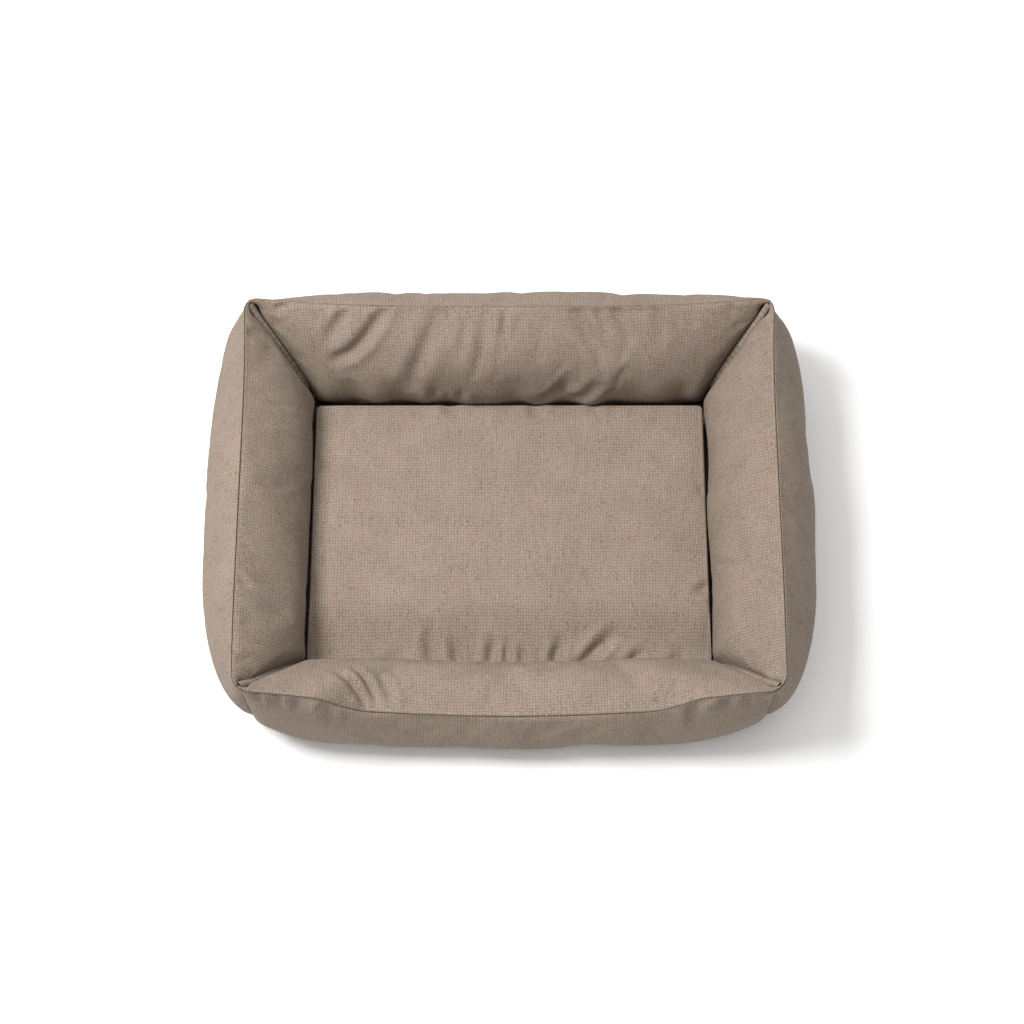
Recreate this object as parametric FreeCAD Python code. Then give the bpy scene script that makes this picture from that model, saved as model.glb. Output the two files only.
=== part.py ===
"""Rectangular bolster bed for a small pet, in millimetres.

Four stuffed walls stand on a padded base and are joined at mitred corners. Each wall is an outer
panel and an inner panel, sewn together along the ridge, with a fibre filling between them, and a
fabric divider closes the fillings off from each other at each corner. A loose cushion lies in the
well between the walls, and lifts out. A zip in the cushion's rear edge opens its cover.

+X is to the right, +Y to the rear and +Z up. The origin is on the floor, under the middle of the
bed's outline. The front wall is the low one, where the pet steps in.
"""
import FreeCAD, Part

import math
import os

V = FreeCAD.Vector

# Overall size, to the fullest part of the walls
WIDTH = 610.0
DEPTH = 472.0
RIDGE_HEIGHT = 166.0         # at the corners, where the walls are tallest
BACK_RIDGE_HEIGHT = 163.0    # halfway along the rear wall
SIDE_RIDGE_HEIGHT = 159.0    # halfway along a side wall
FRONT_RIDGE_HEIGHT = 97.0    # the dip in the front wall

# Corner seams, seen from above
CORNER_X = 257.0
REAR_CORNER_Y = 189.0
FRONT_CORNER_Y = 208.0
WALL_THICK = 57.0            # from a corner's tip to the inner corner, along X and along Y

# Cloth and gaps
CLOTH = 1.2                  # upholstery cloth with its backing
DIVIDER_CLOTH = 0.8
GAP = 0.2                    # between pieces that lie against each other
RIDGE_GAP = 1.8              # between a wall's two panels at the ridge, where the thread runs
EDGE_GAP = 0.3               # between the cushion's two panels

# Base
BASE_THICK = 1.6             # coated cloth with its grip dots
WADDING_THICK = 6.0
FLOOR_TOP = BASE_THICK + GAP + WADDING_THICK + GAP + CLOTH
BASE_INSET = 2.0             # the base's edge, inside the foot of the outer panels
FLOOR_INSET = 7.0            # the floor's edge, inside the foot of the inner panels

# Cushion, a knife-edge cushion with its seam halfway up
CUSHION_HALF_X = 195.0
CUSHION_FRONT_Y = -149.0
CUSHION_REAR_Y = 121.0
CUSHION_BOTTOM = FLOOR_TOP + 0.5
CUSHION_TOP = 66.5
CUSHION_CORNER_R = 26.0
CUSHION_CROWN = 46.0         # how far in from its edge the cushion reaches its full thickness
CUSHION_SEAM_Z = (CUSHION_BOTTOM + CUSHION_TOP) / 2

# Zip, a coil zip set back in the cushion's rear edge. Distances across it are from its middle.
ZIP_Y = CUSHION_REAR_Y - 5.5
ZIP_HALF_LENGTH = 154.0
ZIP_SLOT = 5.2               # half the height of the slot
ZIP_SLOT_FLOOR = 0.7         # from the tapes' middle plane to the edge of the slot's lining
ZIP_POCKET = 8.8             # half the height of the hollow for the tapes in the filling
TAPE_IN, TAPE_EDGE = 2.6, 8.2
TAPE_THICK = 0.8
COIL_IN, COIL_OUT = 0.8, 3.2
COIL_THICK = 1.8
COIL_HALF_LENGTH = 145.0
STOP_LENGTH = 3.0
RUN_GAP = 0.35               # between the slider and what it runs on
SLIDER_LENGTH = 9.0
SLIDER_HALF_HEIGHT = 4.4
SLIDER_PLATE = 1.2
SLIDER_X = COIL_HALF_LENGTH - SLIDER_LENGTH / 2 - 1.0
BRIDGE_THICK = 0.9
BRIDGE_HALF_WIDTH = 0.8
PULL_LENGTH = 13.0
PULL_HALF_HEIGHT = 2.6
PULL_THICK = 1.2
PULL_BAR_R = 0.7

# The stations along a wall where its section is drawn, from -1 at one mitre to 1 at the other
HALF_STATIONS = [0.12, 0.32, 0.48, 0.58, 0.66, 0.74, 0.84, 0.93, 1.0]
STATIONS = [-s for s in reversed(HALF_STATIONS)] + HALF_STATIONS
PANEL_POINTS = 7             # points on each half of a panel's curve
UNDERCUT = 2.6               # how fast an inner panel draws back below its fullest place
MITRE_SLACK = (DIVIDER_CLOTH / 2 + GAP) * math.sqrt(2)


def mix(a, b, share):
    return a + (b - a) * share


def smooth(x):
    x = min(1.0, max(0.0, x))
    return x * x * (3 - 2 * x)


class Wall:
    """One wall. t is measured outwards from the bed's middle and s along the wall, in shares of its
    length. mid and end hold its section halfway along and at the mitres."""

    def __init__(self, place, tips, mid, end, dip):
        self.place, self.tips = place, tips
        self.mid, self.end, self.dip = mid, end, dip

    def section(self, s):
        """The section's dimensions at s: the fullness fades towards the mitres."""
        fade = s ** 4
        flat = self.dip(abs(s))
        d = {k: mix(self.mid[k], self.end[k], fade) for k in self.mid}
        for k in ("ridge_t", "ridge_z", "inner_fullness"):
            d[k] = mix(self.mid[k], self.end[k], flat)
        return d

    def along(self, s, t, slack=MITRE_SLACK):
        """The place along the wall of a point at t, so that every section runs from mitre to mitre."""
        (low_tip_t, low), (high_tip_t, high) = self.tips
        a = low + (low_tip_t - t) + slack
        b = high - (high_tip_t - t) - slack
        return mix(a, b, (s + 1) / 2)

    def point(self, s, t, z, slack=MITRE_SLACK):
        return self.place(t, self.along(s, t, slack), z)


def curve_down(d, side, steps=PANEL_POINTS):
    """A panel's curve, from the ridge over its fullest place to its foot, as (t, z) points."""
    full_t, full_z, foot_t = d[side + "_t"], d[side + "_z"], d[side + "_foot_t"]
    power = d[side + "_fullness"]
    points = []
    for i in range(steps):
        c = math.cos(math.pi / 2 * i / steps)
        points.append((mix(full_t, d["ridge_t"], c ** power), mix(full_z, d["ridge_z"], c)))
    under = UNDERCUT if side == "inner" else 1.7
    for i in range(steps + 1):
        angle = math.pi / 2 * i / steps
        points.append((mix(foot_t, full_t, math.cos(angle) ** under),
                       mix(full_z, d["foot_z"], math.sin(angle))))
    return points


def offset(points, by, ridge_by):
    """The curve moved to its inner side, the side that the ridge and foot of the wall enclose. Its
    first point is moved straight down instead, so that two panels can meet at the ridge."""
    moved = [(points[0][0], points[0][1] - ridge_by)]
    for i in range(1, len(points)):
        before = points[i - 1]
        after = points[min(i + 1, len(points) - 1)]
        dt, dz = after[0] - before[0], after[1] - before[1]
        length = math.hypot(dt, dz)
        moved.append((points[i][0] + by * dz / length, points[i][1] - by * dt / length))
    moved[-1] = (moved[-1][0], points[-1][1])
    return moved


def spline(points):
    curve = Part.BSplineCurve()
    curve.interpolate(points)
    return curve.toShape()


def line(a, b):
    return Part.makeLine(a, b)


def panel_solid(wall, side):
    """One panel of a wall, as a skin lofted through the stations."""
    sign = 1 if side == "outer" else -1
    wires = []
    for s in STATIONS:
        d = wall.section(s)
        d["ridge_t"] += sign * RIDGE_GAP / 2
        outside = curve_down(d, side)
        inside = offset(outside, sign * CLOTH, CLOTH * 1.8)
        out = [wall.point(s, t, z) for t, z in outside]
        back = [wall.point(s, t, z) for t, z in reversed(inside)]
        wires.append(Part.Wire([spline(out), line(out[-1], back[0]),
                                spline(back), line(back[-1], out[0])]))
    return Part.makeLoft(wires, True, False)


def filling_outline(wall, s, shrink, slack=MITRE_SLACK):
    """The closed outline of a wall's filling at s, as a list of edges. It stops short of the ridge,
    and the next two points are left out there so that the outline can't fold over itself."""
    d = wall.section(s)
    top = 1.2 * shrink + 0.14 * (d["ridge_z"] - d["inner_z"])
    outer = offset(curve_down(d, "outer"), shrink, top)
    inner = offset(curve_down(d, "inner"), -shrink, top)
    del outer[1:3]
    del inner[1:3]
    out = [wall.point(s, t, z, slack) for t, z in outer]
    inn = [wall.point(s, t, z, slack) for t, z in reversed(inner)]
    return [spline(out), line(out[-1], inn[0]), spline(inn)]


def filling_solid(wall):
    shrink = CLOTH + 2 * GAP + 0.3
    wires = [Part.Wire(filling_outline(wall, s, shrink)) for s in STATIONS]
    return Part.makeLoft(wires, True, False)


def divider_solid(wall, s):
    """The divider at one end of a wall: its section in the mitre plane, given its thickness."""
    face = Part.Face(Part.Wire(filling_outline(wall, s, CLOTH / 2, slack=0.0)))
    normal = face.normalAt(0, 0)
    sheet = face.extrude(normal * DIVIDER_CLOTH)
    sheet.translate(normal * (-DIVIDER_CLOTH / 2))
    return sheet


# Where each wall's t, place along it and height fall in the bed
def at_back(t, along, z):
    return V(along, t, z)


def at_front(t, along, z):
    return V(-along, -t, z)


def at_left(t, along, z):
    return V(-t, along, z)


def at_right(t, along, z):
    return V(t, -along, z)


def level(s):
    """A ridge that changes evenly from the middle of a wall to its ends."""
    return s ** 4


def stepped(s):
    """The front ridge: low in the middle, up again well before the corners."""
    return 0.35 * smooth(s) + 0.35 * smooth((s - 0.5) / 0.22) + 0.3 * max(0, s - 0.62) / 0.38


def section(ridge_t, ridge_z, outer_t, outer_z, outer_foot_t, inner_t, inner_z, inner_foot_t,
            outer_fullness=2.2, inner_fullness=2.2):
    """A wall's section. The foot is the seam with the base. A fullness of 1 is a straight panel."""
    return {"ridge_t": ridge_t, "ridge_z": ridge_z, "outer_t": outer_t, "outer_z": outer_z,
            "outer_foot_t": outer_foot_t, "inner_t": inner_t, "inner_z": inner_z,
            "inner_foot_t": inner_foot_t, "foot_z": BASE_THICK + GAP,
            "outer_fullness": outer_fullness, "inner_fullness": inner_fullness}


def mitre(tip):
    """The section in the mitre plane at a corner whose tip is at t = tip."""
    inner = tip - WALL_THICK
    return section(tip, RIDGE_HEIGHT, tip + 3, 78, tip - 5, inner, 68, inner + 27, 1.3, 1.25)


def make_walls():
    half_w, half_d = WIDTH / 2, DEPTH / 2
    side_mid = section(261, SIDE_RIDGE_HEIGHT, half_w, 76, 284, 197, 72, 226)
    back_mid = section(188, BACK_RIDGE_HEIGHT, half_d, 82, 216, 126, 74, 161)
    front_mid = section(216, FRONT_RIDGE_HEIGHT, half_d, 56, 220, 152, 68, 179, 2.0, 4.0)
    side_mitre = mitre(CORNER_X)
    back_tips = ((REAR_CORNER_Y, -CORNER_X), (REAR_CORNER_Y, CORNER_X))
    front_tips = ((FRONT_CORNER_Y, -CORNER_X), (FRONT_CORNER_Y, CORNER_X))
    left_tips = ((CORNER_X, -FRONT_CORNER_Y), (CORNER_X, REAR_CORNER_Y))
    right_tips = ((CORNER_X, -REAR_CORNER_Y), (CORNER_X, FRONT_CORNER_Y))
    return {
        "back": Wall(at_back, back_tips, back_mid, mitre(REAR_CORNER_Y), level),
        "left": Wall(at_left, left_tips, side_mid, side_mitre, level),
        "front": Wall(at_front, front_tips, front_mid, mitre(FRONT_CORNER_Y), stepped),
        "right": Wall(at_right, right_tips, side_mid, side_mitre, level),
    }


def plan_sheet(walls, side, inset, z, thick):
    """A flat sheet whose outline follows the walls' feet, inset towards the bed's middle."""
    edges = []
    for wall in walls.values():
        feet = []
        for s in STATIONS:
            t = wall.section(s)[side + "_foot_t"] - inset
            feet.append(wall.point(s, t, z, slack=0.0))
        edges.append(spline(feet))
    face = Part.Face(Part.Wire(Part.__sortEdges__(edges)))
    return face.extrude(V(0, 0, thick))


def rounded_ring(half_x, half_y, radius, z):
    """A level rounded rectangle about the cushion's middle, as a wire."""
    middle_y = (CUSHION_FRONT_Y + CUSHION_REAR_Y) / 2
    edges = []
    for i in range(4):
        a, b = (half_x, half_y) if i % 2 == 0 else (half_y, half_x)
        turn = math.pi / 2 * i

        def place(x, y):
            return V(x * math.cos(turn) - y * math.sin(turn),
                     x * math.sin(turn) + y * math.cos(turn) + middle_y, z)

        knee = radius * (1 - math.sqrt(0.5))
        edges.append(line(place(a, -(b - radius)), place(a, b - radius)))
        arc = Part.Arc(place(a, b - radius), place(a - knee, b - knee), place(a - radius, b))
        edges.append(arc.toShape())
    return Part.Wire(edges)


def quarter_ellipse(across, up, count):
    """Points from (across, 0) to (0, up) on a quarter ellipse, at even distances along it."""
    fine = 400
    trace = [(across * math.cos(math.pi / 2 * i / fine), up * math.sin(math.pi / 2 * i / fine))
             for i in range(fine + 1)]
    run = [0.0]
    for a, b in zip(trace, trace[1:]):
        run.append(run[-1] + math.hypot(b[0] - a[0], b[1] - a[1]))
    return [next(p for p, r in zip(trace, run) if r >= run[-1] * i / count - 1e-6)
            for i in range(count + 1)]


def pillow(inset):
    """The cushion's body, inset by a cloth or a gap, lofted upwards through level rings."""
    half_x = CUSHION_HALF_X - inset
    half_y = (CUSHION_REAR_Y - CUSHION_FRONT_Y) / 2 - inset
    rise = (CUSHION_TOP - CUSHION_BOTTOM) / 2 - inset
    upper = quarter_ellipse(CUSHION_CROWN - inset, rise, 7)
    levels = [(e, -z) for e, z in reversed(upper[1:])] + upper
    rings = []
    for e, z in levels:
        crown = CUSHION_CROWN - inset - e
        rings.append(rounded_ring(half_x - crown, half_y - crown, CUSHION_CORNER_R - inset,
                                  CUSHION_SEAM_Z + z))
    return Part.makeLoft(rings, True, False)


def block(x0, x1, y0, y1, z0, z1):
    return Part.makeBox(x1 - x0, y1 - y0, z1 - z0, V(x0, y0, z0))


def zip_block(half_x, y0, y1, half_z):
    """A block along the zip. y is from the tapes' middle plane, z from the cushion's seam."""
    return block(-half_x, half_x, ZIP_Y + y0, ZIP_Y + y1,
                 CUSHION_SEAM_Z - half_z, CUSHION_SEAM_Z + half_z)


def cushion_cover():
    """The cover's skin, with the slot for the zip turned in along the rear edge."""
    slot = zip_block(ZIP_HALF_LENGTH, ZIP_SLOT_FLOOR, 20, ZIP_SLOT)
    lined = zip_block(ZIP_HALF_LENGTH + CLOTH, ZIP_SLOT_FLOOR, 20, ZIP_SLOT + CLOTH)
    hollow = pillow(CLOTH).cut(lined)
    return pillow(0.0).cut(hollow).cut(slot)


def cushion_filling():
    pocket = zip_block(ZIP_HALF_LENGTH + CLOTH + GAP, -3.4, 20, ZIP_POCKET)
    return pillow(CLOTH + GAP).cut(pocket)


def half_cover(cover, above):
    """The part of the cover above or below its edge seam."""
    z0 = CUSHION_SEAM_Z + EDGE_GAP / 2 if above else 0
    z1 = 100 if above else CUSHION_SEAM_Z - EDGE_GAP / 2
    return cover.common(block(-300, 300, -300, 300, z0, z1))


def zip_tape(side):
    """A tape with its coil. side is 1 for the upper tape and -1 for the lower one."""
    def strip(half_x, half_y, near, far):
        low, high = sorted((CUSHION_SEAM_Z + side * near, CUSHION_SEAM_Z + side * far))
        return block(-half_x, half_x, ZIP_Y - half_y, ZIP_Y + half_y, low, high)

    tape = strip(ZIP_HALF_LENGTH - 0.5, TAPE_THICK / 2, TAPE_IN, TAPE_EDGE)
    coil = strip(COIL_HALF_LENGTH, COIL_THICK / 2, COIL_IN, COIL_OUT)
    return tape.fuse(coil)


def zip_stop(side):
    """A stop pressed round both tapes beyond the end of the coils."""
    near = side * (COIL_HALF_LENGTH + RUN_GAP)
    far = near + side * STOP_LENGTH
    x0, x1 = sorted((near, far))
    half_z = COIL_OUT
    body = block(x0, x1, ZIP_Y - 1.2, ZIP_Y + 1.2, CUSHION_SEAM_Z - half_z, CUSHION_SEAM_Z + half_z)
    slit = TAPE_THICK / 2 + GAP
    for edge in (TAPE_IN - GAP, -half_z):
        z = CUSHION_SEAM_Z + edge
        body = body.cut(block(x0, x1, ZIP_Y - slit, ZIP_Y + slit, z, z + half_z - TAPE_IN + GAP))
    return body


# The slider's own levels, along Y from the tapes' middle plane
PLATE_IN = COIL_THICK / 2 + RUN_GAP
PLATE_OUT = PLATE_IN + SLIDER_PLATE
PIVOT_Y = PLATE_OUT + RUN_GAP + PULL_BAR_R
BRIDGE_IN = PIVOT_Y + PULL_BAR_R + RUN_GAP
BRIDGE_OUT = BRIDGE_IN + BRIDGE_THICK
BRIDGE_LEG = PULL_BAR_R + RUN_GAP


def slider_block(x0, x1, y0, y1, z0, z1):
    return block(SLIDER_X + x0, SLIDER_X + x1, ZIP_Y + y0, ZIP_Y + y1,
                 CUSHION_SEAM_Z + z0, CUSHION_SEAM_Z + z1)


def zip_slider():
    """Two plates joined by a post, with flanges round the coils and a bridge for the pull."""
    h, w = SLIDER_LENGTH / 2, SLIDER_HALF_HEIGHT
    slit = TAPE_THICK / 2 + RUN_GAP
    inside = COIL_OUT + RUN_GAP
    body = slider_block(1.6, 3.6, -PLATE_IN, PLATE_IN, -0.42, 0.42)
    for side in (-1, 1):
        y0, y1 = sorted((side * PLATE_IN, side * PLATE_OUT))
        f0, f1 = sorted((side * slit, side * PLATE_IN))
        body = body.fuse(round_corners(slider_block(-h, h, y0, y1, -w, w), 1.4))
        body = body.fuse(slider_block(-h + 1.4, h - 1.4, f0, f1, -w, -inside))
        body = body.fuse(slider_block(-h + 1.4, h - 1.4, f0, f1, inside, w))
    outer = BRIDGE_LEG + BRIDGE_THICK
    bridge = slider_block(-outer, outer, PLATE_OUT, BRIDGE_OUT, -BRIDGE_HALF_WIDTH,
                          BRIDGE_HALF_WIDTH)
    eye = slider_block(-BRIDGE_LEG, BRIDGE_LEG, PLATE_OUT, BRIDGE_IN, -2, 2)
    return body.fuse(bridge.cut(eye))


def round_corners(plate, radius):
    """The plate with its corners rounded, seen from the front."""
    corners = []
    for edge in plate.Edges:
        a, b = edge.Vertexes[0].Point, edge.Vertexes[-1].Point
        if abs(a.x - b.x) < 0.01 and abs(a.z - b.z) < 0.01:
            corners.append(edge)
    return plate.makeFillet(radius, corners)


def zip_pull():
    """A flat pull with a round bar that turns under the slider's bridge."""
    window = BRIDGE_LEG + BRIDGE_THICK + 1.2
    low = PIVOT_Y - PULL_THICK / 2
    high = PIVOT_Y + PULL_THICK / 2
    blade = slider_block(-PULL_LENGTH, 2, low, high, -PULL_HALF_HEIGHT, PULL_HALF_HEIGHT)
    blade = round_corners(blade, 1.8)
    blade = blade.cut(slider_block(0, 3, low, high, -PULL_HALF_HEIGHT, PULL_HALF_HEIGHT))
    opening = slider_block(-window, 1, low, high, -BRIDGE_HALF_WIDTH - 0.45,
                           BRIDGE_HALF_WIDTH + 0.45)
    hole = slider_block(-PULL_LENGTH + 2.6, -window - 2.4, low, high, -1.1, 1.1)
    bar = Part.makeCylinder(PULL_BAR_R, 2 * PULL_HALF_HEIGHT,
                            V(SLIDER_X, ZIP_Y + PIVOT_Y, CUSHION_SEAM_Z - PULL_HALF_HEIGHT))
    return blade.cut(opening).cut(hole).fuse(bar)


def write(name, shape):
    solids = shape.Solids
    shape = solids[0] if len(solids) == 1 else Part.makeCompound(solids)
    if shape.Volume < 0:
        shape.reverse()
    shape.exportStep("parts/" + name + ".step")


def build():
    os.makedirs("parts", exist_ok=True)
    walls = make_walls()
    write("base_fabric", plan_sheet(walls, "outer", BASE_INSET, 0.0, BASE_THICK))
    wadding_z = BASE_THICK + GAP
    write("base_wadding", plan_sheet(walls, "inner", FLOOR_INSET, wadding_z, WADDING_THICK))
    floor_z = wadding_z + WADDING_THICK + GAP
    write("floor_panel", plan_sheet(walls, "inner", FLOOR_INSET, floor_z, CLOTH))
    for name, wall in walls.items():
        write(name + "_outer_panel", panel_solid(wall, "outer"))
        write(name + "_inner_panel", panel_solid(wall, "inner"))
        write(name + "_filling", filling_solid(wall))
    write("divider_back_left", divider_solid(walls["back"], -1.0))
    write("divider_back_right", divider_solid(walls["back"], 1.0))
    write("divider_front_right", divider_solid(walls["front"], -1.0))
    write("divider_front_left", divider_solid(walls["front"], 1.0))
    cover = cushion_cover()
    write("cushion_top_panel", half_cover(cover, True))
    write("cushion_bottom_panel", half_cover(cover, False))
    write("cushion_filling", cushion_filling())
    write("zip_tape_upper", zip_tape(1))
    write("zip_tape_lower", zip_tape(-1))
    write("zip_stop_left", zip_stop(-1))
    write("zip_stop_right", zip_stop(1))
    write("zip_slider", zip_slider())
    write("zip_pull", zip_pull())


build()
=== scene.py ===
"""Rectangular bolster bed for a small pet, with a loose zipped cushion.

Lengths in this file are in millimetres until a mesh is made, where they become metres. +X is to the
right, +Y to the rear and +Z up. On a wall, t is the distance outwards from the bed's middle, and
along runs to the right as seen from outside the bed.
"""
import math

import bmesh
import bpy
import numpy as np
from mathutils import Matrix, Vector


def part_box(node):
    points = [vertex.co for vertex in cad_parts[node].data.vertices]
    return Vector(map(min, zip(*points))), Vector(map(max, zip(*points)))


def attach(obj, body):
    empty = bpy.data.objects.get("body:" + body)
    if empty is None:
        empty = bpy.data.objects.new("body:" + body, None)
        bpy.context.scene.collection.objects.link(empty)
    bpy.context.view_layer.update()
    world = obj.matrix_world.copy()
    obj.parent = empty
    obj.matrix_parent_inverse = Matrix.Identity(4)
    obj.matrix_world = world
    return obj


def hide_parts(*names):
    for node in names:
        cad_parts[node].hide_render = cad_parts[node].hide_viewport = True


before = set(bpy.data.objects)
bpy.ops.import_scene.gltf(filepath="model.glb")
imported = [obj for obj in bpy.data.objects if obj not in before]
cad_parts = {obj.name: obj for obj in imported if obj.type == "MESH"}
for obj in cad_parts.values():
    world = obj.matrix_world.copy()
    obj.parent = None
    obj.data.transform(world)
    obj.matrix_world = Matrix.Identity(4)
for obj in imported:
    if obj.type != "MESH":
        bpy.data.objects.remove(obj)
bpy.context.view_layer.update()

bl_info = {
    "name": "Pet Cushion Bed",
    "version": (1, 0, 0),
    "blender": (4, 5, 0),
    "location": "View3D > Sidebar > Pet Bed",
    "description": "Builds a stuffed pet bed, its loose cushion and the cushion's zip",
    "category": "Add Mesh",
}

MM = 0.001


# ---- Small helpers ------------------------------------------------------------------------------

def linear(hex_colour):
    """An sRGB hex colour as linear red, green, blue and alpha."""
    shares = [int(hex_colour[i:i + 2], 16) / 255 for i in (1, 3, 5)]
    return [c / 12.92 if c <= 0.04045 else ((c + 0.055) / 1.055) ** 2.4 for c in shares] + [1.0]


def mix(a, b, share):
    return a + (b - a) * share


def smooth(x):
    x = np.clip(x, 0.0, 1.0)
    return x * x * (3 - 2 * x)


def add_node(tree, kind, inputs=None, **settings):
    """Adds a node with its settings. Each input is a value or the output it is linked to."""
    made = tree.nodes.new(kind)
    for name, value in settings.items():
        setattr(made, name, value)
    for key, value in (inputs or {}).items():
        if isinstance(value, bpy.types.NodeSocket):
            tree.links.new(value, made.inputs[key])
        else:
            made.inputs[key].default_value = value
    return made


def quads(ids, around=False, flip=False):
    """The faces of a grid of vertex numbers. around joins its last column to its first."""
    if around:
        ids = np.concatenate([ids, ids[:, :1]], axis=1)
    faces = np.stack([ids[:-1, :-1], ids[:-1, 1:], ids[1:, 1:], ids[1:, :-1]], axis=-1)
    return (faces[..., ::-1] if flip else faces).reshape(-1, 4).tolist()


def new_object(name, points, edges, faces):
    """An object in the scene, from points in millimetres."""
    mesh = bpy.data.meshes.new(name)
    mesh.from_pydata((np.asarray(points) * MM).tolist(), edges, faces)
    made = bpy.data.objects.new(name, mesh)
    bpy.context.scene.collection.objects.link(made)
    return made


def corner_of(node, end):
    """A CAD node's lowest corner, for an end of 0, or its highest, in millimetres."""
    return np.array(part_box(node)[end]) / MM


def seam_height():
    """The height of the cushion's edge seam."""
    return (corner_of("cushion_bottom_panel", 0)[2] + corner_of("cushion_top_panel", 1)[2]) / 2


def make_piece(name, points, faces, material, uv=None):
    """A mesh object from points in millimetres. uv gives each point's place on the flat cloth."""
    piece = new_object(name, points, [], faces)
    mesh = piece.data
    mesh.polygons.foreach_set("use_smooth", [True] * len(mesh.polygons))
    if uv is not None:
        layer = mesh.uv_layers.new(name="weave")
        loops = np.empty(len(mesh.loops), dtype=np.int64)
        mesh.loops.foreach_get("vertex_index", loops)
        layer.data.foreach_set("uv", (np.asarray(uv)[loops] * MM).ravel().tolist())
    mesh.materials.append(material)
    mesh.validate()
    mesh.update()
    return piece


def read_points(piece):
    points = np.empty(len(piece.data.vertices) * 3)
    piece.data.vertices.foreach_get("co", points)
    return points.reshape(-1, 3) / MM


def write_points(piece, points):
    piece.data.vertices.foreach_set("co", (points * MM).ravel())
    piece.data.update()


# ---- Materials ----------------------------------------------------------------------------------

def new_material(name):
    material = bpy.data.materials.new(name)
    material.use_nodes = True
    tree = material.node_tree
    tree.nodes.clear()
    shader = add_node(tree, "ShaderNodeBsdfPrincipled")
    add_node(tree, "ShaderNodeOutputMaterial", {"Surface": shader.outputs[0]})
    return material, tree, shader


WEAVE_CELL = 3.0              # one square of the weave


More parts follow.
